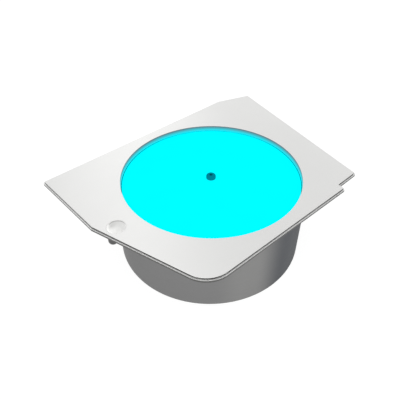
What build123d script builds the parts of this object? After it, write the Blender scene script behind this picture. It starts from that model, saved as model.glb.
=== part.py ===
"""Flush underwater pool light: a stainless niche, a lamp that lifts out of it, and a face plate.

Millimetres, +Z up. The origin is where the lens axis meets the can's outer bottom face.
X and Y run along the square sides of the face plate.
"""

import os
from math import cos, radians, sin

from build123d import *

# ---------------------------------------------------------------- driving dimensions
total_height = 85.4  # can bottom to face plate top
aperture_radius = 90.0  # round opening of the face plate
can_radius = 97.8
can_at = (0.0, 3.0)  # the can stands this far off the lens axis
can_sheet = 1.5
lens_recess = 6.0  # lens top below face plate top
ledge = 1.3  # mounting plate beyond the face plate, all round
gap = 0.3  # between bodies that move past each other
fit = 0.05  # radial gap of a thread or a running fit

# Corners of the face plate and their radii, clockwise from the far left one.
face_corners = [
    ((-128.9, 102.3), 1.0),
    ((109.9, 102.3), 4.0),
    ((148.7, 87.7), 1.0),
    ((103.5, -97.4), 1.0),
    ((75.7, -97.4), 1.0),
    ((75.1, -103.8), 1.0),
    ((-95.0, -99.3), 25.0),
    ((-127.8, 14.8), 2.0),
]

# ---------------------------------------------------------------- plate stack, top to bottom
face_sheet = 1.2
face_gasket_sheet = 0.5
mount_sheet = 2.0
wall_gasket_sheet = 0.5
face_bottom = total_height - face_sheet
mount_top = face_bottom - face_gasket_sheet
mount_bottom = mount_top - mount_sheet
wall_face = mount_bottom - wall_gasket_sheet

collar_outer = aperture_radius + 1.2
collar_bottom = total_height - 6.5
mount_opening = 92.5

wall_screw_x, wall_screw_y = 176.0, 168.0  # spacings
wall_screw_hole = 2.25
wall_screw_sink = 3.7

# ---------------------------------------------------------------- lifting cup of the face plate
cup_at = (-112.2, 0.3)
cup_mouth = 8.2
cup_sheet = 0.6
cup_end = 3.7  # inner radius of the round end
cup_end_at = (-118.0, -0.9)
cup_end_height = total_height - 11.0
cup_way = gap + 0.1  # room for it in the flange

# ---------------------------------------------------------------- niche interior and cable entry
lamp_seat = 20.0
boss_radius = 9.0
pad_circle, pad_count, pad_first = 66.0, 3, 90.0
entry_height = 35.0
entry_inside, entry_outside = 92.0, 102.0
entry_radius = 15.0
entry_thread = 10.0
gland_across_flats = 24.0
gland_bore = 4.6
gland_seal_outer = 6.2
gland_seal_bore = 4.2
gland_hex_start = entry_outside + 1.0
gland_nut_start = gland_hex_start + 6.0
gland_nut_length = 14.0

# ---------------------------------------------------------------- lamp
lens_radius = aperture_radius - 0.5
lens_top = total_height - lens_recess
lens_bottom = lens_top - 5.0
skirt_bore = 85.2
skirt_bottom = 60.0
housing_radius = skirt_bore - gap
housing_bore = 81.0
ledge_bore = 77.0
ledge_height = 58.0
floor_top = lamp_seat + 4.0
seal_height = 66.0
seal_section = 1.3

sleeve_radius = 5.0
shank_radius = 2.5
shank_clearance = shank_radius + 0.35
screw_length = 70.0
screw_head_radius, screw_head_height = 4.75, 3.7
washer_sheet = 1.0
washer_sink = 0.8

board_bottom = ledge_height + 3.0
board_top = board_bottom + 1.6
board_radius = 78.0
led_rings = [(22.0, 6), (42.0, 12), (62.0, 18)]
led_side, led_height, led_dome = 5.0, 1.2, 1.9
diffuser_bottom, diffuser_sheet = 68.5, 1.5
spacer_circle, spacer_count = 73.0, 6

driver_at = (40.0, 0.0)
driver_board = (46.0, 88.0)
driver_holes = (38.0, 80.0)
driver_bottom = floor_top + 8.0
driver_top = driver_bottom + 1.6

lamp_gland_at = (-45.0, 0.0)
lamp_gland_thread = 8.0

bond_angle, bond_height = 62.0, 52.0

on_base = (Align.CENTER, Align.CENTER, Align.MIN)


def across_x(start):
    """A plane square to the cable entry's axis, its normal along +X."""
    return Plane(origin=(start, can_at[1], entry_height), x_dir=(0, 1, 0), z_dir=(1, 0, 0))


def turned(*profile):
    """A solid turned round the lens axis from the (radius, height) points of its section."""
    with BuildPart() as solid:
        with BuildSketch(Plane.XZ):
            with BuildLine():
                Polyline(*profile, close=True)
            make_face()
        revolve(axis=Axis.Z)
    return solid.part


def ring(bottom, height, outer, inner, at=(0, 0)):
    """A flat ring."""
    with BuildPart() as solid:
        with BuildSketch(Plane.XY.offset(bottom)):
            with Locations(at):
                Circle(outer)
                Circle(inner, mode=Mode.SUBTRACT)
        extrude(amount=height)
    return solid.part


# ================================================================ plate outlines
with BuildSketch() as face_outline:
    with BuildLine():
        Polyline(*[corner for corner, _ in face_corners], close=True)
    make_face()
    for corner, radius in face_corners:
        fillet(face_outline.vertices().sort_by_distance((*corner, 0))[0], radius)


def outline(grown):
    """The face plate's outline, grown by a distance."""
    with BuildSketch() as grown_outline:
        add(face_outline.sketch)
        offset(amount=grown, kind=Kind.ARC)
    return grown_outline.sketch


# ================================================================ lifting cup
with BuildSketch() as cup_slot:
    with Locations(cup_at):
        Circle(cup_mouth + cup_sheet + cup_way)
    with Locations(cup_end_at):
        Circle(cup_end + cup_sheet + cup_way)


def cup_shape(grown):
    """The leaning funnel of the cup, with a round end, grown by a distance."""
    with BuildPart() as funnel:
        with BuildSketch(Plane.XY.offset(face_bottom)) as mouth:
            with Locations(cup_at):
                Circle(cup_mouth + grown)
        extrude(amount=face_sheet)
        with BuildSketch(Plane.XY.offset(cup_end_height)) as end:
            with Locations(cup_end_at):
                Circle(cup_end + grown)
        loft(sections=[mouth.sketch, end.sketch])
        with Locations((*cup_end_at, cup_end_height)):
            Sphere(cup_end + grown, arc_size2=0, align=(Align.CENTER, Align.CENTER, Align.MAX))
    return funnel.part


with BuildPart() as lift_cup:
    add(cup_shape(cup_sheet))
    add(cup_shape(0.0), mode=Mode.SUBTRACT)
    inner_lip = lift_cup.edges().filter_by(GeomType.CIRCLE).group_by(Axis.Z)[-1].sort_by(SortBy.LENGTH)[0]
    fillet(inner_lip, 0.3)

# ================================================================ face plate
with BuildPart() as face_plate:
    with BuildSketch(Plane.XY.offset(face_bottom)):
        add(face_outline.sketch)
    extrude(amount=face_sheet)
    with BuildSketch(Plane.XY.offset(collar_bottom)):
        Circle(collar_outer)
    extrude(amount=total_height - collar_bottom)
    with BuildSketch(Plane.XY.offset(collar_bottom)):
        Circle(aperture_radius)
    extrude(amount=total_height - collar_bottom, mode=Mode.SUBTRACT)
    fillet(face_plate.faces().sort_by(Axis.Z)[-1].edges(), 0.35)
    with Locations((*cup_at, total_height)):
        Hole(cup_mouth + cup_sheet, depth=face_sheet)

with BuildPart() as face_gasket:
    with BuildSketch(Plane.XY.offset(mount_top)):
        add(outline(-0.4))
        Circle(mount_opening, mode=Mode.SUBTRACT)
        add(cup_slot.sketch, mode=Mode.SUBTRACT)
        with GridLocations(wall_screw_x, wall_screw_y, 2, 2):
            Circle(wall_screw_sink + 0.5, mode=Mode.SUBTRACT)
    extrude(amount=face_gasket_sheet)

# Three strips round the collar, each with a crown that centres the plate in the niche.
clip_top, clip_sheet, clip_crown = collar_bottom + 0.3, 0.3, 0.65
with BuildPart() as spring_clips:
    with BuildSketch(Plane.XZ):
        with BuildLine():
            Polyline(
                (collar_outer, clip_top),
                (collar_outer + clip_sheet, clip_top),
                (collar_outer + clip_sheet, collar_bottom),
                (collar_outer + clip_sheet + clip_crown, collar_bottom - 2),
                (collar_outer + clip_sheet, collar_bottom - 4),
                (collar_outer, collar_bottom - 4),
                (collar_outer + clip_crown, collar_bottom - 2),
                (collar_outer, collar_bottom),
                close=True,
            )
        make_face()
    revolve(axis=Axis.Z)
    with BuildSketch():
        with PolarLocations(collar_outer, 3, 30):
            Rectangle(8, 12)
    extrude(amount=total_height, mode=Mode.INTERSECT)

# ================================================================ niche
with BuildPart() as mounting_plate:
    with BuildSketch(Plane.XY.offset(mount_bottom)):
        add(outline(ledge))
        Circle(mount_opening, mode=Mode.SUBTRACT)
        add(cup_slot.sketch, mode=Mode.SUBTRACT)
    extrude(amount=mount_sheet)
    with Locations((0, 0, mount_top)):
        with GridLocations(wall_screw_x, wall_screw_y, 2, 2):
            CounterSinkHole(wall_screw_hole, wall_screw_sink, depth=mount_sheet, counter_sink_angle=90)

with BuildPart() as wall_gasket:
    with BuildSketch(Plane.XY.offset(wall_face)):
        add(outline(ledge - 0.4))
        with Locations(can_at):
            Circle(can_radius + 0.2, mode=Mode.SUBTRACT)
        add(cup_slot.sketch, mode=Mode.SUBTRACT)
        with GridLocations(wall_screw_x, wall_screw_y, 2, 2):
            Circle(wall_screw_hole + 0.2, mode=Mode.SUBTRACT)
    extrude(amount=wall_gasket_sheet)

with BuildPart() as niche_can:
    with Locations(can_at):
        Cylinder(can_radius, mount_bottom, align=on_base)
    fillet(niche_can.edges().sort_by(Axis.Z)[0], 0.6)
    with BuildSketch(Plane.XY.offset(can_sheet)):
        with Locations(can_at):
            Circle(can_radius - can_sheet)
    extrude(amount=mount_bottom, mode=Mode.SUBTRACT)
    with BuildSketch(across_x(entry_inside)):
        Circle(entry_radius)
    extrude(amount=entry_outside - entry_inside, mode=Mode.SUBTRACT)

with BuildPart() as centre_boss:
    add(
        turned(
            (shank_radius + fit, can_sheet),
            (boss_radius + 7, can_sheet),
            (boss_radius + 7, can_sheet + 2),
            (boss_radius + 6, can_sheet + 3),
            (boss_radius, can_sheet + 3),
            (boss_radius, lamp_seat - 1),
            (boss_radius - 1, lamp_seat),
            (shank_radius + fit, lamp_seat),
        )
    )

with BuildPart() as support_posts:
    with Locations((0, 0, can_sheet)):
        with PolarLocations(pad_circle, pad_count, pad_first):
            Cylinder(6, lamp_seat - 3 - can_sheet, align=on_base)

with BuildPart() as support_pads:
    with Locations((0, 0, lamp_seat - 3)):
        with PolarLocations(pad_circle, pad_count, pad_first):
            Cylinder(7, 3, align=on_base)
    fillet(support_pads.edges().group_by(Axis.Z)[-1], 0.8)

# ================================================================ cable entry of the niche
with BuildPart() as entry_boss:
    with BuildSketch(across_x(entry_inside)):
        Circle(entry_radius)
        Circle(entry_thread, mode=Mode.SUBTRACT)
    extrude(amount=entry_outside - entry_inside)

with BuildPart() as gland_washer:
    with BuildSketch(across_x(entry_outside)):
        Circle(entry_radius - 1)
        Circle(entry_thread, mode=Mode.SUBTRACT)
    extrude(amount=gland_hex_start - entry_outside)

locknut_start = entry_inside - 4.5
with BuildPart() as gland_locknut:
    with BuildSketch(across_x(locknut_start)):
        RegularPolygon(gland_across_flats / 2 + 1, 6, major_radius=False)
        Circle(entry_thread, mode=Mode.SUBTRACT)
    extrude(amount=entry_inside - locknut_start)

neck_radius = entry_thread - 0.8
neck_length = 8.0
with BuildPart() as gland_body:
    with BuildSketch(across_x(locknut_start)):
        Circle(entry_thread - fit)
    extrude(amount=gland_hex_start - locknut_start)
    with BuildSketch(across_x(gland_hex_start)):
        RegularPolygon(gland_across_flats / 2, 6, major_radius=False)
    extrude(amount=gland_nut_start - gland_hex_start)
    with BuildSketch(across_x(gland_nut_start)):
        Circle(neck_radius)
    extrude(amount=neck_length)
    with BuildSketch(across_x(locknut_start)):
        Circle(gland_bore)
    extrude(amount=gland_hex_start - locknut_start, mode=Mode.SUBTRACT)
    with BuildSketch(across_x(gland_hex_start)):
        Circle(gland_seal_outer)
    extrude(amount=neck_length * 2, mode=Mode.SUBTRACT)

with BuildPart() as gland_seal:
    with BuildSketch(across_x(gland_hex_start)):
        Circle(gland_seal_outer - 0.02)
        Circle(gland_seal_bore, mode=Mode.SUBTRACT)
    extrude(amount=gland_nut_start - gland_hex_start + neck_length + 1)

dome_length = 5.0
with BuildPart() as gland_nut:
    with BuildSketch(across_x(gland_nut_start)):
        RegularPolygon(gland_across_flats / 2, 6, major_radius=False)
    extrude(amount=gland_nut_length - dome_length)
    with BuildSketch(across_x(gland_nut_start + gland_nut_length - dome_length)):
        Circle(gland_across_flats / 2 - 0.4)
    extrude(amount=dome_length, taper=30)
    with BuildSketch(across_x(gland_nut_start)):
        Circle(neck_radius + fit)
    extrude(amount=neck_length + 1.5, mode=Mode.SUBTRACT)
    with BuildSketch(across_x(gland_nut_start)):
        Circle(gland_bore)
    extrude(amount=gland_nut_length, mode=Mode.SUBTRACT)

# ================================================================ bonding terminal
bond_out = (cos(radians(bond_angle)), sin(radians(bond_angle)), 0)
bond_side = (-bond_out[1], bond_out[0], 0)


def bond_plane(reach):
    """A plane square to the can's wall at the bonding terminal."""
    origin = (can_at[0] + reach * bond_out[0], can_at[1] + reach * bond_out[1], bond_height)
    return Plane(origin=origin, x_dir=bond_side, z_dir=bond_out)


with BuildPart() as bonding_lug:
    with BuildSketch(bond_plane(can_radius - 1)):
        RectangleRounded(12, 10, 1.5)
    extrude(amount=9)
    with Locations(can_at):
        Cylinder(can_radius, total_height, align=on_base, mode=Mode.SUBTRACT)
    with BuildSketch(bond_plane(can_radius)):
        Circle(2 + fit)
    extrude(amount=9, mode=Mode.SUBTRACT)

with BuildPart() as bonding_screw:
    with BuildSketch(bond_plane(can_radius + 3)):
        Circle(2)
    extrude(amount=5)
    with BuildSketch(bond_plane(can_radius + 8)):
        Circle(3.8)
    extrude(amount=2.4)
    with BuildSketch(bond_plane(can_radius + 9.4)):
        Rectangle(9, 1)
    extrude(amount=2, mode=Mode.SUBTRACT)

# ================================================================ lamp housing and lens
seal_radius = skirt_bore - fit - seal_section
groove_radius = seal_radius - seal_section
with BuildPart() as lamp_housing:
    add(
        turned(
            (sleeve_radius + 0.02, lamp_seat),
            (housing_radius - 3, lamp_seat),
            (housing_radius, lamp_seat + 3),
            (housing_radius, seal_height - seal_section - 0.2),
            (groove_radius, seal_height - seal_section - 0.2),
            (groove_radius, seal_height + seal_section + 0.2),
            (housing_radius, seal_height + seal_section + 0.2),
            (housing_radius, lens_bottom),
            (housing_bore, lens_bottom),
            (housing_bore, ledge_height),
            (ledge_bore, ledge_height),
            (housing_bore, ledge_height - 6),
            (housing_bore, floor_top),
            (sleeve_radius + 0.02, floor_top),
        )
    )
    with Locations((*lamp_gland_at, floor_top)):
        Hole(lamp_gland_thread, depth=floor_top - lamp_seat)

with BuildPart() as lens_seal:
    Torus(seal_radius, seal_section)
lens_seal.part.position = (0, 0, seal_height)

sleeve_seal_section = 0.5
sleeve_seal_height = 69.5
sleeve_groove = sleeve_radius + gap - fit - 2 * sleeve_seal_section
with BuildPart() as centre_sleeve:
    add(
        turned(
            (shank_clearance, lamp_seat),
            (sleeve_radius, lamp_seat),
            (sleeve_radius, sleeve_seal_height - sleeve_seal_section - 0.1),
            (sleeve_groove, sleeve_seal_height - sleeve_seal_section - 0.1),
            (sleeve_groove, sleeve_seal_height + sleeve_seal_section + 0.1),
            (sleeve_radius, sleeve_seal_height + sleeve_seal_section + 0.1),
            (sleeve_radius, lens_bottom),
            (shank_clearance, lens_bottom),
        )
    )

with BuildPart() as sleeve_seal:
    Torus(sleeve_groove + sleeve_seal_section, sleeve_seal_section)
sleeve_seal.part.position = (0, 0, sleeve_seal_height)

with BuildPart() as lens:
    add(
        turned(
            (shank_clearance, lens_bottom),
            (sleeve_radius + gap, lens_bottom),
            (sleeve_radius + gap, lens_bottom - 4),
            (sleeve_radius + 4, lens_bottom - 4),
            (sleeve_radius + 5, lens_bottom),
            (skirt_bore, lens_bottom),
            (skirt_bore, skirt_bottom + 0.5),
            (skirt_bore + 0.5, skirt_bottom),
            (lens_radius, skirt_bottom),
            (lens_radius, lens_top - 0.6),
            (lens_radius - 0.6, lens_top),
            (screw_head_radius, lens_top),
            (screw_head_radius, lens_top - washer_sink),
            (shank_clearance, lens_top - washer_sink),
        )
    )

# ================================================================ centre screw
washer_bottom = lens_top - washer_sink
head_bottom = washer_bottom + washer_sheet
screw_washer = ring(washer_bottom, washer_sheet, screw_head_radius - 0.1, shank_radius + fit)

with BuildPart() as centre_screw:
    with Locations((0, 0, head_bottom - screw_length)):
        Cylinder(shank_radius, screw_length, align=on_base)
    chamfer(centre_screw.edges().sort_by(Axis.Z)[0], 0.6)
    with BuildSketch(Plane.XZ):
        with BuildLine():
            Line((0, head_bottom), (screw_head_radius, head_bottom))
            Line((screw_head_radius, head_bottom), (screw_head_radius, head_bottom + 1.6))
            ThreePointArc(
                (screw_head_radius, head_bottom + 1.6),
                (screw_head_radius * 0.83, head_bottom + screw_head_height * 0.84),
                (screw_head_radius * 0.5, head_bottom + screw_head_height),
            )
            Line((screw_head_radius * 0.5, head_bottom + screw_head_height), (0, head_bottom + screw_head_height))
            Line((0, head_bottom + screw_head_height), (0, head_bottom))
        make_face()
    revolve(axis=Axis.Z)
    with BuildSketch(Plane.XY.offset(head_bottom + screw_head_height - 2)):
        RegularPolygon(1.5, 6, major_radius=False)
    extrude(amount=2, mode=Mode.SUBTRACT)

# ================================================================ light engine
heat_spreader = ring(ledge_height, board_bottom - ledge_height, housing_bore - 0.3, sleeve_radius + 1)
led_board = ring(board_bottom, board_top - board_bottom, board_radius, sleeve_radius + 1.5)
diffuser = ring(diffuser_bottom, diffuser_sheet, housing_bore - 0.5, sleeve_radius + 4.5)

with BuildPart() as leds:
    for circle, count in led_rings:
        with Locations((0, 0, board_top)):
            with PolarLocations(circle, count):
                Box(led_side, led_side, led_height, align=on_base)

with BuildPart() as led_domes:
    for circle, count in led_rings:
        with Locations((0, 0, board_top + led_height)):
            with PolarLocations(circle, count):
                Sphere(led_dome, arc_size1=0, align=on_base)

with BuildPart() as board_screws:
    with Locations((0, 0, board_top)):
        with PolarLocations(52.0, 3, 60):
            Cylinder(2.8, 1.8, align=on_base)
            Cylinder(0.7, 1.8, align=on_base, mode=Mode.SUBTRACT)

with BuildPart() as diffuser_spacers:
    with Locations((0, 0, board_top)):
        with PolarLocations(spacer_circle, spacer_count, 30):
            Cylinder(2.5, diffuser_bottom - board_top, align=on_base)

# ================================================================ driver
with BuildPart() as driver_pcb:
    with BuildSketch(Plane.XY.offset(driver_bottom)):
        with Locations(driver_at):
            RectangleRounded(*driver_board, 3)
            with GridLocations(*driver_holes, 2, 2):
                Circle(1.6, mode=Mode.SUBTRACT)
    extrude(amount=driver_top - driver_bottom)

with BuildPart() as driver_standoffs:
    with Locations((*driver_at, floor_top)):
        with GridLocations(*driver_holes, 2, 2):
            Cylinder(3, driver_bottom - floor_top, align=on_base)

with BuildPart() as driver_screws:
    with Locations((*driver_at, driver_top)):
        with GridLocations(*driver_holes, 2, 2):
            Cylinder(2.8, 2, align=on_base)
            Cylinder(0.8, 1, align=on_base, mode=Mode.SUBTRACT)

with BuildPart() as driver_capacitors:
    with Locations((driver_at[0] + 10, 22, driver_top), (driver_at[0] + 10, 8, driver_top)):
        Cylinder(5, 16, align=on_base)
    fillet(driver_capacitors.edges().group_by(Axis.Z)[-1], 0.8)

with BuildPart() as driver_coil:
    with Locations((driver_at[0] + 6, -16, driver_top + 4.5)):
        Torus(7, 4.4)

with BuildPart() as driver_chips:
    with Locations((driver_at[0] - 10, 0, driver_top)):
        with GridLocations(1, 14, 1, 3):
            Box(6, 5, 1.8, align=on_base)

with BuildPart() as terminal_block:
    with Locations((driver_at[0] - 8, 30, driver_top)):
        Box(16, 10, 11, align=on_base)
        with Locations((0, 0, 11)):
            with GridLocations(7.5, 1, 2, 1):
                Hole(2, depth=3)

# ================================================================ cable entry of the lamp
lamp_nut_sheet = 4.0
with BuildPart() as lamp_gland_body:
    with BuildSketch(Plane.XY.offset(lamp_seat - 6)):
        with Locations(lamp_gland_at):
            RegularPolygon(10, 6, major_radius=False)
    extrude(amount=6)
    with BuildSketch(Plane.XY.offset(lamp_seat)):
        with Locations(lamp_gland_at):
            Circle(lamp_gland_thread - 0.02)
    extrude(amount=floor_top + lamp_nut_sheet - lamp_seat)
    with Locations((*lamp_gland_at, floor_top + lamp_nut_sheet)):
        Hole(5, depth=30)

lamp_gland_nut = ring(floor_top, lamp_nut_sheet, 10.5, lamp_gland_thread, lamp_gland_at)
lamp_gland_seal = ring(lamp_seat - 6, 12, 4.98, gland_seal_bore, lamp_gland_at)

pieces = {
    "niche_can": niche_can.part,
    "mounting_plate": mounting_plate.part,
    "wall_gasket": wall_gasket.part,
    "centre_boss": centre_boss.part,
    "support_posts": support_posts.part,
    "support_pads": support_pads.part,
    "entry_boss": entry_boss.part,
    "gland_washer": gland_washer.part,
    "gland_locknut": gland_locknut.part,
    "gland_body": gland_body.part,
    "gland_seal": gland_seal.part,
    "gland_nut": gland_nut.part,
    "bonding_lug": bonding_lug.part,
    "bonding_screw": bonding_screw.part,
    "face_plate": face_plate.part,
    "face_gasket": face_gasket.part,
    "spring_clips": spring_clips.part,
    "lift_cup": lift_cup.part,
    "lamp_housing": lamp_housing.part,
    "centre_sleeve": centre_sleeve.part,
    "sleeve_seal": sleeve_seal.part,
    "lens_seal": lens_seal.part,
    "heat_spreader": heat_spreader,
    "led_board": led_board,
    "leds": leds.part,
    "led_domes": led_domes.part,
    "board_screws": board_screws.part,
    "diffuser_spacers": diffuser_spacers.part,
    "diffuser": diffuser,
    "driver_pcb": driver_pcb.part,
    "driver_standoffs": driver_standoffs.part,
    "driver_screws": driver_screws.part,
    "driver_capacitors": driver_capacitors.part,
    "driver_coil": driver_coil.part,
    "driver_chips": driver_chips.part,
    "terminal_block": terminal_block.part,
    "lamp_gland_body": lamp_gland_body.part,
    "lamp_gland_nut": lamp_gland_nut,
    "lamp_gland_seal": lamp_gland_seal,
    "lens": lens.part,
    "screw_washer": screw_washer,
    "centre_screw": centre_screw.part,
}

os.makedirs("parts", exist_ok=True)
for name, piece in pieces.items():
    piece.label = name
    export_step(piece, f"parts/{name}.step")
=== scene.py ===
"""Looks of the underwater pool light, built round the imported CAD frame. Metres, +Z up."""

import math

import bmesh
import bpy
from mathutils import Matrix, Vector


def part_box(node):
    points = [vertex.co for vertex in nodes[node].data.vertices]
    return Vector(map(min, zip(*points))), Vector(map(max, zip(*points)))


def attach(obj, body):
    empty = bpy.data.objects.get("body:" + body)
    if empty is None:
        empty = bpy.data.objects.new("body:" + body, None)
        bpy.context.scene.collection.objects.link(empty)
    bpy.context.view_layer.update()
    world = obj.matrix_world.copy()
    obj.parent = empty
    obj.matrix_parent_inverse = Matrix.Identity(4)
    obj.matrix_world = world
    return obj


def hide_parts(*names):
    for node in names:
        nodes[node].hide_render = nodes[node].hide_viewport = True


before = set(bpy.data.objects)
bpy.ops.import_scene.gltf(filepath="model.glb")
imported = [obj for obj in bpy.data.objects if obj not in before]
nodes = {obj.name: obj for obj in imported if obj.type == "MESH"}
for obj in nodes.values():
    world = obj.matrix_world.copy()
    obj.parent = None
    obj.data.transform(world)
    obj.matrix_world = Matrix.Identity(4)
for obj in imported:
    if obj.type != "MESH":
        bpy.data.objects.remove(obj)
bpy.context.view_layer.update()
scene = bpy.context.scene
scene.view_settings.view_transform = "Standard"

lens_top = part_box("lens")[1][2]
plate_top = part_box("face_plate")[1][2]


# ---------------------------------------------------------------- camera
def aim_camera(place, heading, pitch, roll, lens):
    """A camera by its compass heading, its tilt and its roll, in degrees."""
    h, p, r = (math.radians(a) for a in (heading, pitch, roll))
    forward = Vector((math.sin(h) * math.cos(p), math.cos(h) * math.cos(p), math.sin(p)))
    level = Vector((math.cos(h), -math.sin(h), 0))
    upright = level.cross(forward)
    right = math.cos(r) * level + math.sin(r) * upright
    up = math.cos(r) * upright - math.sin(r) * level
    data = bpy.data.cameras.new("camera")
    data.sensor_width = 36.0
    data.lens = lens
    data.clip_start = 0.01
    camera = bpy.data.objects.new("camera", data)
    scene.collection.objects.link(camera)
    camera.matrix_world = Matrix.Translation(place) @ Matrix((right, up, -forward)).transposed().to_4x4()
    scene.camera = camera


aim_camera(Vector((-0.22412, -0.23592, 0.33243)), heading=41.5, pitch=-41.0, roll=-1.175, lens=36.72)


# ---------------------------------------------------------------- materials
FINE_GRAIN = 1500.0  # noise cells per metre
EDGE_RADIUS = 0.00025
# Fixed level directions along which the can's and the cup's painted shade and highlight are measured;
# FRONT_RIGHT also shapes the studio sky.
FRONT_RIGHT = (0.749, -0.663, 0.0)
FRONT_LEFT = (-0.66, -0.75, 0.0)


class Nodes:
    """A material's node tree, with short calls for the nodes that the materials share."""

    def __init__(self, name):
        self.material = bpy.data.materials.new(name)
        self.material.use_nodes = True
        self.tree = self.material.node_tree
        self.shader = self.tree.nodes["Principled BSDF"]

    def add(self, kind, **settings):
        node = self.tree.nodes.new(kind)
        for key, value in settings.items():
            setattr(node, key, value)
        return node

    def link(self, source, target):
        self.tree.links.new(source, target)

    def place(self, stretch=(1, 1, 1)):
        """The frame's own coordinates, in metres, stretched."""
        coords = self.add("ShaderNodeTexCoord")
        mapping = self.add("ShaderNodeMapping")
        mapping.inputs["Scale"].default_value = stretch
        self.link(coords.outputs["Object"], mapping.inputs["Vector"])
        return mapping.outputs["Vector"]

    def part_of(self, vector, axis):
        split = self.add("ShaderNodeSeparateXYZ")
        self.link(vector, split.inputs["Vector"])
        return split.outputs[axis]

    def along(self, vector, direction):
        """How far a vector points along a direction."""
        dot = self.add("ShaderNodeVectorMath", operation="DOT_PRODUCT")
        dot.inputs[1].default_value = direction
        self.link(vector, dot.inputs[0])
        return dot.outputs["Value"]

    def noise(self, scale, stretch=(1, 1, 1), detail=4.0):
        noise = self.add("ShaderNodeTexNoise")
        noise.inputs["Scale"].default_value = scale
        noise.inputs["Detail"].default_value = detail
        self.link(self.place(stretch), noise.inputs["Vector"])
        return noise.outputs["Fac"]

    def cloud(self, scale, detail=2.0):
        """Broad patches, as a factor from 0 to 1."""
        return self.spread(self.noise(scale, detail=detail), 0, 1)

    def spread(self, fac, low, high, start=0.3, end=0.7, smooth=False):
        """A factor remapped to run from low to high."""
        ramp = self.add("ShaderNodeMapRange", interpolation_type="SMOOTHSTEP" if smooth else "LINEAR")
        for key, value in zip(("From Min", "From Max", "To Min", "To Max"), (start, end, low, high)):
            ramp.inputs[key].default_value = value
        self.link(fac, ramp.inputs["Value"])
        return ramp.outputs["Result"]

    def tint(self, fac, dark, light):
        """A colour between two, by a factor. Either may be a colour or a socket."""
        mix = self.add("ShaderNodeMix", data_type="RGBA")
        for key, colour in (("A", dark), ("B", light)):
            if isinstance(colour, tuple):
                mix.inputs[key].default_value = (*colour, 1)
            else:
                self.link(colour, mix.inputs[key])
        self.link(fac, mix.inputs["Factor"])
        return mix.outputs["Result"]

    def true_normal(self):
        return self.add("ShaderNodeNewGeometry").outputs["True Normal"]

    def smooth_normal(self):
        return self.add("ShaderNodeNewGeometry").outputs["Normal"]

    def flatness(self):
        """1 on a level face, 0 on an upright one."""
        size = self.add("ShaderNodeMath", operation="ABSOLUTE")
        self.link(self.part_of(self.true_normal(), "Z"), size.inputs[0])
        return self.spread(size.outputs[0], 0, 1, 0.35, 0.8)

    def surface(self, fac, strength, distance):
        """A fine relief, with edges that catch the light."""
        bevel = self.add("ShaderNodeBevel", samples=4)
        bevel.inputs["Radius"].default_value = EDGE_RADIUS
        bump = self.add("ShaderNodeBump")
        bump.inputs["Strength"].default_value = strength
        bump.inputs["Distance"].default_value = distance
        self.link(fac, bump.inputs["Height"])
        self.link(bevel.outputs["Normal"], bump.inputs["Normal"])
        self.link(bump.outputs["Normal"], self.shader.inputs["Normal"])

    def set(self, **values):
        for key, value in values.items():
            self.shader.inputs[key.replace("_", " ")].default_value = value


def steel(name, colour, rough, stretch=(1, 1, 1), metallic=1.0, painted_side_shade=None):
    """Metal with grain stretched along the way it was brushed; its upright sides may take a darker painted
    shade colour.
    """
    n = Nodes(name)
    grain_fac = n.noise(FINE_GRAIN, stretch)
    dark = tuple(c * 0.95 for c in colour)
    base = n.tint(n.cloud(18.0), dark, colour)
    # Painted shade: upright faces take the darker side colour, level faces keep the metal's own.
    if painted_side_shade:
        base = n.tint(n.flatness(), painted_side_shade, base)
    n.link(base, n.shader.inputs["Base Color"])
    n.link(n.spread(grain_fac, rough * 0.88, rough * 1.12), n.shader.inputs["Roughness"])
    n.set(Metallic=metallic)
    n.surface(grain_fac, 0.12, 0.00001)
    return n.material


def moulded(name, colour, rough, specular=0.5, light=None):
    """Moulded plastic or rubber with a fine tool texture."""
    n = Nodes(name)
    grain_fac = n.noise(FINE_GRAIN)
    light = light or tuple(min(1.0, c * 1.12 + 0.004) for c in colour)
    n.link(n.tint(n.cloud(60.0, detail=4.0), colour, light), n.shader.inputs["Base Color"])
    n.link(n.spread(grain_fac, rough * 0.85, rough * 1.1), n.shader.inputs["Roughness"])
    n.set(Specular_IOR_Level=specular)
    n.surface(grain_fac, 0.25, 0.00002)
    return n.material


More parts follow.
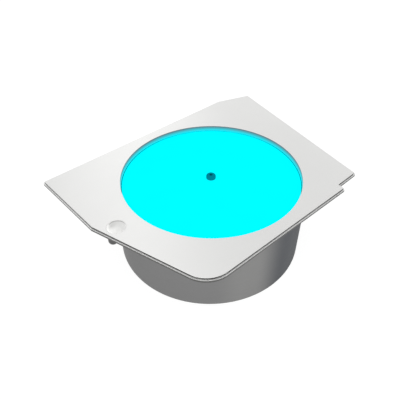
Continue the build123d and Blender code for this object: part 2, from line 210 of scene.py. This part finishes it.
def plate_finish_painted_shade_and_glow(name):
    """Satin plate: bright faces, cut edges darkened by painted shade, and a collar wall painted dark at its
    rim and cyan below, painted shade giving way to a painted reflection and painted glow of the lit lens.
    """
    n = Nodes(name)
    collar_outside, blend = 0.0915, 0.0003
    grain_fac = n.noise(FINE_GRAIN, (0.03, 1, 1))
    top = n.tint(n.cloud(14.0), (0.845, 0.845, 0.835), (0.865, 0.865, 0.855))
    place = n.place()
    radius = n.add("ShaderNodeVectorMath", operation="LENGTH")
    flat = n.add("ShaderNodeVectorMath", operation="MULTIPLY")
    flat.inputs[1].default_value = (1, 1, 0)
    n.link(place, flat.inputs[0])
    n.link(flat.outputs[0], radius.inputs[0])
    inside = n.spread(radius.outputs["Value"], 1, 0, collar_outside, collar_outside + blend)
    depth = n.spread(n.part_of(place, "Z"), 1, 0, lens_top + 0.0001, plate_top - 0.0004)
    # Painted shade and painted reflection: the collar wall runs from dark at the plate top to cyan towards
    # the lens.
    collar_painted_shade_and_reflection = n.tint(depth, (0.08, 0.10, 0.11), (0.3, 0.5, 0.52))
    # Painted shade: the cut edges outside the collar are near black.
    painted_side_shade = n.tint(inside, (0.03, 0.03, 0.028), collar_painted_shade_and_reflection)
    # Painted glow: the collar's upright wall glows, dim near the rim and cyan near the lens; level faces
    # don't glow.
    painted_glow = n.tint(depth, (0.12, 0.08, 0.09), (0.0, 0.36, 0.41))
    painted_collar_glow = n.tint(n.flatness(), n.tint(inside, (0.0, 0.0, 0.0), painted_glow), (0.0, 0.0, 0.0))
    n.link(painted_collar_glow, n.shader.inputs["Emission Color"])
    n.link(n.tint(n.flatness(), painted_side_shade, top), n.shader.inputs["Base Color"])
    n.link(n.spread(grain_fac, 0.28, 0.36), n.shader.inputs["Roughness"])
    n.set(Metallic=1.0, Emission_Strength=1.0)
    n.surface(grain_fac, 0.1, 0.00001)
    return n.material


def can_finish_painted_shade_and_highlight(name):
    """Drawn can: brushed round its axis, with a painted highlight band and painted shade that darkens it
    where it turns towards the front right.
    """
    n = Nodes(name)
    grain_fac = n.noise(1300.0, (0.05, 0.05, 1))
    turn = n.along(n.smooth_normal(), FRONT_RIGHT)
    # Painted highlight: a brighter band where the can turns a little towards the front right.
    painted_highlight = n.tint(n.spread(turn, 0, 1, 0.0, 0.3, smooth=True), (0.232, 0.232, 0.232), (0.27, 0.27, 0.267))
    # Painted shade: darker and bluish further round towards the front right, near black where it faces that
    # way.
    base = n.tint(n.spread(turn, 0, 1, 0.42, 0.72, smooth=True), painted_highlight, (0.115, 0.121, 0.13))
    base = n.tint(n.spread(turn, 0, 1, 0.8, 1.0), base, (0.05, 0.055, 0.06))
    cloud = n.tint(n.cloud(14.0), (0.96, 0.96, 0.96), (1.0, 1.0, 1.0))
    shade = n.add("ShaderNodeMix", data_type="RGBA", blend_type="MULTIPLY")
    shade.inputs["Factor"].default_value = 1.0
    n.link(base, shade.inputs["A"])
    n.link(cloud, shade.inputs["B"])
    n.link(shade.outputs["Result"], n.shader.inputs["Base Color"])
    n.link(n.spread(grain_fac, 0.42, 0.5), n.shader.inputs["Roughness"])
    n.set(Metallic=0.6, Specular_IOR_Level=0.2, Specular_Tint=(0.4, 0.4, 0.4, 1.0))
    n.surface(grain_fac, 0.12, 0.00001)
    return n.material


def cup_finish_painted_shade_and_glow(name, centre):
    """The lifting cup: a scoop brightened by painted glow, with painted shade under its far lip and a
    near-black outside that is painted shade.
    """
    n = Nodes(name)
    grain_fac = n.noise(FINE_GRAIN)
    normal = n.smooth_normal()
    away = n.add("ShaderNodeVectorMath", operation="SUBTRACT")
    away.inputs[1].default_value = centre
    n.link(n.place(), away.inputs[0])
    outward = n.add("ShaderNodeVectorMath", operation="DOT_PRODUCT")
    n.link(away.outputs[0], outward.inputs[0])
    n.link(normal, outward.inputs[1])
    outside = n.spread(outward.outputs["Value"], 0, 1, 0.0, 0.001)
    level = n.flatness()
    shaded = n.add("ShaderNodeMath", operation="MULTIPLY")
    facing = n.spread(n.along(normal, FRONT_LEFT), 0, 1, 0.2, 0.85, smooth=True)
    height = n.spread(n.part_of(n.place(), "Z"), 0, 1, plate_top - 0.0069, plate_top - 0.0029, smooth=True)
    n.link(facing, shaded.inputs[0])
    n.link(height, shaded.inputs[1])
    far_wall_painted_shade = shaded.outputs[0]
    # Painted shade: the inner wall facing the front left darkens near the top, under the far lip, and the
    # cup's outside is near black.
    inner = n.tint(far_wall_painted_shade, (0.86, 0.86, 0.85), (0.5, 0.5, 0.49))
    wall = n.tint(outside, inner, (0.09, 0.09, 0.09))
    n.link(n.tint(level, wall, (0.86, 0.86, 0.85)), n.shader.inputs["Base Color"])
    # Painted glow: the inner wall glows, least where the painted shade falls; the outside doesn't glow.
    painted_glow = n.tint(outside, n.tint(far_wall_painted_shade, (0.3, 0.3, 0.3), (0.02, 0.02, 0.02)), (0.0, 0.0, 0.0))
    n.link(n.tint(level, painted_glow, (0.0, 0.0, 0.0)), n.shader.inputs["Emission Color"])
    n.link(n.spread(grain_fac, 0.36, 0.44), n.shader.inputs["Roughness"])
    n.set(Metallic=0.5, Emission_Strength=1.0)
    n.surface(grain_fac, 0.1, 0.00001)
    return n.material


def lit_lens(name):
    """The lit lens: an even cyan glow, dimmed through its skirt's upright sides by painted shade."""
    n = Nodes(name)
    n.link(n.tint(n.cloud(40.0), (0.0, 0.10, 0.11), (0.0, 0.12, 0.13)), n.shader.inputs["Base Color"])
    n.link(n.spread(n.noise(900.0), 0.3, 0.4), n.shader.inputs["Roughness"])
    # Painted shade: the skirt's upright sides, below the top rim, glow dimmer than the top and the level
    # faces.
    free_of_painted_shade = n.add("ShaderNodeMath", operation="MAXIMUM")
    n.link(n.flatness(), free_of_painted_shade.inputs[0])
    n.link(n.spread(n.part_of(n.place(), "Z"), 0, 1, lens_top - 0.0039, lens_top - 0.0019), free_of_painted_shade.inputs[1])
    n.link(n.tint(free_of_painted_shade.outputs[0], (0.0, 0.52, 0.6), (0.0, 0.9, 1.0)), n.shader.inputs["Emission Color"])
    n.set(Specular_IOR_Level=0.0, Emission_Strength=1.0)
    return n.material


plate_steel = plate_finish_painted_shade_and_glow("plate_steel")
can_steel = can_finish_painted_shade_and_highlight("can_steel")
# The flange's near-black side colour is painted shade on its upright edges.
flange_steel = steel(
    "flange_steel", (0.95, 0.95, 0.94), 0.42, stretch=(0.03, 1, 1), metallic=0.6, painted_side_shade=(0.1, 0.1, 0.097)
)
cup_steel = cup_finish_painted_shade_and_glow("cup_steel", centre=(-0.1165, -0.0005, 0.0771))
turned_steel = steel("turned_steel", (0.55, 0.55, 0.55), 0.35)
# The screw is teal all over, with no specular reflection.
teal_screw = moulded("teal_screw", (0.0, 0.24, 0.31), 0.5, specular=0.0, light=(0.0, 0.26, 0.33))
nickel_brass = steel("nickel_brass", (0.7, 0.66, 0.58), 0.3)
bare_brass = steel("bare_brass", (0.72, 0.52, 0.24), 0.35)
aluminium = steel("aluminium", (0.82, 0.82, 0.83), 0.4)
black_rubber = moulded("black_rubber", (0.012, 0.012, 0.013), 0.65)
black_plastic = moulded("black_plastic", (0.02, 0.02, 0.022), 0.45)
white_plastic = moulded("white_plastic", (0.75, 0.75, 0.74), 0.35, light=(0.765, 0.765, 0.755))
opal_plastic = moulded("opal_plastic", (0.6, 0.9, 0.9), 0.4)
green_board = moulded("green_board", (0.01, 0.11, 0.05), 0.35)
amber = moulded("amber", (0.5, 0.22, 0.06), 0.3)
phosphor = moulded("phosphor", (0.85, 0.75, 0.3), 0.4)
clear_dome = moulded("clear_dome", (0.75, 0.9, 0.9), 0.15)
cyan_lens = lit_lens("cyan_lens")

finishes = {
    can_steel: ["niche_can"],
    flange_steel: ["mounting_plate"],
    plate_steel: ["face_plate"],
    cup_steel: ["lift_cup"],
    turned_steel: [
        "centre_boss", "support_posts", "entry_boss", "bonding_screw", "board_screws", "driver_screws",
        "spring_clips",
    ],
    teal_screw: ["centre_screw"],
    nickel_brass: ["gland_body", "gland_nut", "gland_locknut"],
    bare_brass: ["bonding_lug", "driver_standoffs"],
    aluminium: ["heat_spreader"],
    black_rubber: [
        "wall_gasket", "support_pads", "gland_washer", "gland_seal", "face_gasket", "sleeve_seal",
        "lens_seal", "lamp_gland_seal", "screw_washer",
    ],
    black_plastic: ["lamp_gland_body", "lamp_gland_nut", "driver_chips", "driver_capacitors"],
    white_plastic: ["lamp_housing", "centre_sleeve", "led_board", "diffuser_spacers"],
    opal_plastic: ["diffuser"],
    green_board: ["driver_pcb", "terminal_block"],
    amber: ["driver_coil"],
    phosphor: ["leds"],
    clear_dome: ["led_domes"],
    cyan_lens: ["lens"],
}
for material, names in finishes.items():
    for name in names:
        for slot in nodes[name].material_slots:
            slot.material = material


# ---------------------------------------------------------------- pieces modelled finer than their CAD node
MM = 0.001
CREASE = math.radians(34)
GLAND_BORE = 4.6
GLAND_PITCH = 1.5
CAPACITOR_RADIUS = 5.0


def corners(node):
    """A node's lowest and highest corners, to a tenth of a millimetre."""
    return [[round(value / MM, 1) for value in corner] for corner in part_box(node)]


def middle(node):
    return [round((low + high) / 2, 1) for low, high in zip(*corners(node))]


def at(x, y, z):
    """A place in the frame, in millimetres."""
    return Matrix.Translation((x * MM, y * MM, z * MM))


def on_entry_axis():
    """The place that turns a skin's height to +X, on the axis of the niche's cable gland."""
    _, y, z = middle("gland_body")
    return Matrix(((0, 0, 1, 0), (1, 0, 0, y * MM), (0, 1, 0, z * MM), (0, 0, 0, 1)))


def hexagon(across_flats):
    """A hexagon's radius as a function of the turn, with a corner at turn 0."""
    return lambda turn: across_flats / 2 / math.cos(turn % (math.pi / 3) - math.pi / 6)


def chamfered(across_flats, limit):
    """A hexagon whose corners are turned down to a circle."""
    radius = hexagon(across_flats)
    return lambda turn: min(radius(turn), limit)


def ribbed(radius, depth, count):
    """A circle with grooves along it."""
    return lambda turn: radius - depth * (0.5 - 0.5 * math.cos(count * turn)) ** 2


def thread(start, end, radius, depth, pitch):
    """Rings of an outside thread between two heights, fading out at both ends."""

    def crest(height):
        fade = max(0.0, min(1.0, (height - start) / pitch, (end - height) / pitch))

        def at_turn(turn):
            phase = (height / pitch - turn / math.tau) % 1.0
            return radius - depth * fade * min(1.0, 2.4 * min(phase, 1 - phase))

        return at_turn

    rings_per_turn = 6
    count = round((end - start) / pitch * rings_per_turn)
    heights = [start + (end - start) * i / count for i in range(count + 1)]
    return [(crest(height), height) for height in heights]


def arc(centre, radius, start, end, count):
    """(radius, height) points on an arc of the section, angles in degrees."""
    angles = [math.radians(start + (end - start) * i / count) for i in range(count + 1)]
    return [(centre[0] + radius * math.cos(a), centre[1] + radius * math.sin(a)) for a in angles]


def skin(rings, steps=96, loop=False):
    """A closed skin through rings of (radius, height), each a number or a function of the turn.

    Without loop the first and last rings are points on the axis."""
    bm = bmesh.new()
    rows = []
    for index, (radius, height) in enumerate(rings):
        pole = not loop and index in (0, len(rings) - 1)
        row = []
        for step in range(1 if pole else steps):
            turn = math.tau * step / steps
            r = radius(turn) if callable(radius) else radius
            h = height(turn) if callable(height) else height
            row.append(bm.verts.new((r * math.cos(turn) * MM, r * math.sin(turn) * MM, h * MM)))
        rows.append(row)
    pairs = list(zip(rows, rows[1:])) + ([(rows[-1], rows[0])] if loop else [])
    for low, high in pairs:
        for step in range(steps):
            after = (step + 1) % steps
            if len(low) == 1:
                bm.faces.new((low[0], high[after], high[step]))
            elif len(high) == 1:
                bm.faces.new((low[step], low[after], high[0]))
            else:
                bm.faces.new((low[step], low[after], high[after], high[step]))
    return bm


def piece(name, node, body, material, parts):
    """One mesh that stands for a CAD node, from (skin, place) parts."""
    whole = bmesh.new()
    for part, place in parts:
        part.transform(place)
        copy = bpy.data.meshes.new("part")
        part.to_mesh(copy)
        part.free()
        whole.from_mesh(copy)
        bpy.data.meshes.remove(copy)
    bmesh.ops.recalc_face_normals(whole, faces=whole.faces)
    for face in whole.faces:
        face.smooth = True
    for edge in whole.edges:
        edge.smooth = not (len(edge.link_faces) == 2 and edge.calc_face_angle() > CREASE)
    mesh = bpy.data.meshes.new(name)
    whole.to_mesh(mesh)
    whole.free()
    mesh.materials.append(material)
    made = bpy.data.objects.new(name, mesh)
    scene.collection.objects.link(made)
    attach(made, body)
    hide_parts(node)
    return made


def centre_screw():
    """M5 pan-head screw with a rounded head, a hexagon socket and a rolled thread."""
    tip, top = (corner[2] for corner in corners("centre_screw"))
    seat = corners("screw_washer")[1][2]
    shank, head, rounding, socket = 2.5, 4.75, 2.0, 3.0
    return skin(
        [(0, tip), (shank - 0.65, tip), (shank - 0.45, tip + 0.35)]
        + thread(tip + 0.4, tip + 24, shank, depth=0.42, pitch=0.8)
        + [(shank, seat - 0.25), (shank + 0.15, seat)]
        + [(head - 0.15, seat), (head, seat + 0.15), (head, top - 2.1)]
        + arc((head - rounding, top - rounding), rounding, 2, 80, 10)
        + [(2.45, top - 0.005), (1.95, top), (hexagon(socket + 0.3), top - 0.02)]
        + [(hexagon(socket), top - 0.2), (hexagon(socket), top - 1.9), (1.2, top - 2.0), (0, top - 2.2)],
        steps=72,
    )


def gland_body():
    """A long thread for the locknut, a hexagon, and a short thread for the nut."""
    inner, outer = (corner[0] for corner in corners("gland_body"))
    grip_end = corners("gland_nut")[0][0]
    grip_start = grip_end - 6
    grip, seal_bore = chamfered(24, 13.5), 6.2
    return skin(
        [(GLAND_BORE, inner), (9.3, inner)]
        + thread(inner + 0.3, grip_start - 0.4, 9.95, 0.8, GLAND_PITCH)
        + [(9.3, grip_start), (11.6, grip_start + 0.001), (grip, grip_start + 0.5)]
        + [(grip, grip_end - 0.5), (11.6, grip_end)]
        + thread(grip_end + 0.2, outer - 0.4, 9.2, 0.5, GLAND_PITCH)
        + [(8.9, outer), (seal_bore + 0.2, outer), (seal_bore, outer - 0.2)]
        + [(seal_bore, grip_start), (GLAND_BORE, grip_start)],
        loop=True,
    )


def gland_nut():
    """A domed nut with a groove round its grip."""
    start, end = (corner[0] for corner in corners("gland_nut"))
    groove, dome, waist, inside = start + 4, 4.8, 11.7, 9.25
    shoulder = end - dome
    grip = chamfered(24, 13.6)
    return skin(
        [(inside, start + 0.02), (waist, start + 0.02), (grip, start + 0.6), (grip, groove)]
        + [(waist, groove + 0.01), (waist, groove + 0.4), (grip, groove + 0.41)]
        + [(grip, shoulder - 0.6), (waist + 0.2, shoulder)]
        + arc((waist - dome, shoulder), dome, 4, 84, 10)
        + [(5.2, end), (GLAND_BORE + 0.1, end - 0.4), (GLAND_BORE, end - 0.8)]
        + [(GLAND_BORE, shoulder + 0.4), (inside, shoulder + 0.4)],
        loop=True,
    )


def gland_locknut():
    start, end = (corner[0] for corner in corners("gland_locknut"))
    grip, inside = chamfered(26, 14.6), 10.02
    return skin(
        [(inside, start), (12.6, start), (grip, start + 0.6), (grip, end - 0.4), (12.9, end), (inside, end)],
        loop=True,
    )


def lamp_gland_nut():
    """A round nut with a ribbed grip."""
    start, end = (corner[2] for corner in corners("lamp_gland_nut"))
    grip, inside = ribbed(10.5, 0.7, 18), 8
    return skin(
        [(inside, start), (10, start), (grip, start + 0.4), (grip, end - 0.7), (9.7, end), (inside, end)],
        steps=144,
        loop=True,
    )


def lamp_gland_body():
    """A hexagon, a plain shank, and a thread for the nut."""
    start, end = (corner[2] for corner in corners("lamp_gland_body"))
    shank_start, nut_start = start + 6, corners("lamp_gland_nut")[0][2]
    grip, shank, bore = chamfered(20, 11.2), 7.98, 5
    return skin(
        [(bore, start), (9.4, start), (grip, start + 0.5), (grip, shank_start - 0.4), (9.8, shank_start)]
        + [(shank, shank_start + 0.001), (shank, nut_start)]
        + thread(nut_start + 0.05, end - 0.1, shank, 0.5, GLAND_PITCH)
        + [(7.6, end), (bore + 0.3, end), (bore, end - 0.3)],
        loop=True,
    )


def capacitor():
    """Radial capacitor: a crimped sleeve, and a bare can top with a shallow dish."""
    radius, crimp, rounding, top = CAPACITOR_RADIUS, CAPACITOR_RADIUS - 0.4, 0.6, 15.95
    return skin(
        [(0, 0), (radius - 0.1, 0), (radius, 0.2), (radius, 1.6), (crimp, 2.0), (crimp, 2.4)]
        + [(radius, 2.8), (radius, top - 0.75)]
        + arc((radius - rounding, top - rounding), rounding, 5, 90, 5)
        + [(4.0, top), (3.9, top - 0.15), (2.0, top - 0.23), (0, top - 0.25)],
        steps=48,
    )


def capacitor_places():
    """Both capacitors stand on the driver's board, at the two ends of their node."""
    low, high = corners("driver_capacitors")
    x, board_top = middle("driver_capacitors")[0], corners("driver_pcb")[1][2]
    return [at(x, y, board_top) for y in (high[1] - CAPACITOR_RADIUS, low[1] + CAPACITOR_RADIUS)]


def coil():
    """Toroid choke: one layer of wire wound round the core."""
    wires, core_radius, section_steps = 40, 7, 20

    def bulge(turn):
        return 4.05 + 0.35 * abs(math.sin(wires * turn / 2)) ** 0.6

    def section(angle):
        return (
            lambda turn: core_radius + bulge(turn) * math.cos(angle),
            lambda turn: bulge(turn) * math.sin(angle),
        )

    rings = [section(math.tau * step / section_steps) for step in range(section_steps)]
    return skin(rings, steps=320, loop=True)


entry_axis = on_entry_axis()
lamp_gland_axis = at(middle("lamp_gland_body")[0], 0, 0)
piece("screw_mesh", "centre_screw", "screw", teal_screw, [(centre_screw(), at(0, 0, 0))])
piece("gland_body_mesh", "gland_body", "niche", nickel_brass, [(gland_body(), entry_axis)])
piece("gland_nut_mesh", "gland_nut", "niche", nickel_brass, [(gland_nut(), entry_axis)])
piece("gland_locknut_mesh", "gland_locknut", "niche", nickel_brass, [(gland_locknut(), entry_axis)])
piece("lamp_gland_nut_mesh", "lamp_gland_nut", "lamp", black_plastic, [(lamp_gland_nut(), lamp_gland_axis)])
piece(
    "lamp_gland_body_mesh", "lamp_gland_body", "lamp", black_plastic,
    [(lamp_gland_body(), lamp_gland_axis)],
)
piece(
    "capacitors_mesh", "driver_capacitors", "lamp", black_plastic,
    [(capacitor(), place) for place in capacitor_places()],
)
piece("coil_mesh", "driver_coil", "lamp", amber, [(coil(), at(*middle("driver_coil")))])


# ---------------------------------------------------------------- floor and light
def floor():
    """A white studio floor that keeps only a faint shadow."""
    half, height = 6.0, -0.0004
    outline = [(x * half, y * half, height) for x, y in ((-1, -1), (1, -1), (1, 1), (-1, 1))]
    mesh = bpy.data.meshes.new("floor")
    mesh.from_pydata(outline, [], [(0, 1, 2, 3)])
    plane = bpy.data.objects.new("floor", mesh)
    scene.collection.objects.link(plane)
    n = Nodes("floor_white")
    n.link(n.tint(n.noise(3.0), (0.2, 0.2, 0.2), (0.22, 0.22, 0.22)), n.shader.inputs["Base Color"])
    n.set(Roughness=0.9, Specular_IOR_Level=0.0, Emission_Color=(1.0, 1.0, 1.0, 1.0), Emission_Strength=0.9)
    mesh.materials.append(n.material)


def area_light(name, place, target, size, power):
    """A round light that shines from a place towards a target."""
    data = bpy.data.lights.new(name, "AREA")
    data.shape = "DISK"
    data.size = size
    data.energy = power
    lamp = bpy.data.objects.new(name, data)
    scene.collection.objects.link(lamp)
    lamp.location = place
    lamp.rotation_euler = (Vector(target) - Vector(place)).to_track_quat("-Z", "Y").to_euler()


def sky(base, band):
    """A pale studio all round, with one tall soft band of light beyond the left far corner."""
    world = bpy.data.worlds.new("studio")
    world.use_nodes = True
    tree = world.node_tree
    background = tree.nodes["Background"]
    coords = tree.nodes.new("ShaderNodeTexCoord")
    up = (0, 0, 1)
    total = None
    for direction, start, end, low, high in (
        (FRONT_RIGHT, -0.38, -0.20, base - 0.04, base + band),
        (FRONT_RIGHT, -0.10, 0.03, 0, -band),
        (up, 0.40, 0.90, 0.09, -0.08),
    ):
        along = tree.nodes.new("ShaderNodeVectorMath")
        along.operation = "DOT_PRODUCT"
        along.inputs[1].default_value = direction
        tree.links.new(coords.outputs["Generated"], along.inputs[0])
        ramp = tree.nodes.new("ShaderNodeMapRange")
        for key, value in zip(("From Min", "From Max", "To Min", "To Max"), (start, end, low, high)):
            ramp.inputs[key].default_value = value
        tree.links.new(along.outputs["Value"], ramp.inputs["Value"])
        if total:
            add = tree.nodes.new("ShaderNodeMath")
            tree.links.new(total, add.inputs[0])
            tree.links.new(ramp.outputs["Result"], add.inputs[1])
            total = add.outputs[0]
        else:
            total = ramp.outputs["Result"]
    background.inputs["Color"].default_value = (1.0, 1.0, 1.0, 1.0)
    tree.links.new(total, background.inputs["Strength"])
    scene.world = world


floor()
sky(base=0.825, band=0.28)
area_light("overhead", place=(-0.3, 0.2, 2.0), target=(0, 0, 0), size=1.6, power=3.0)
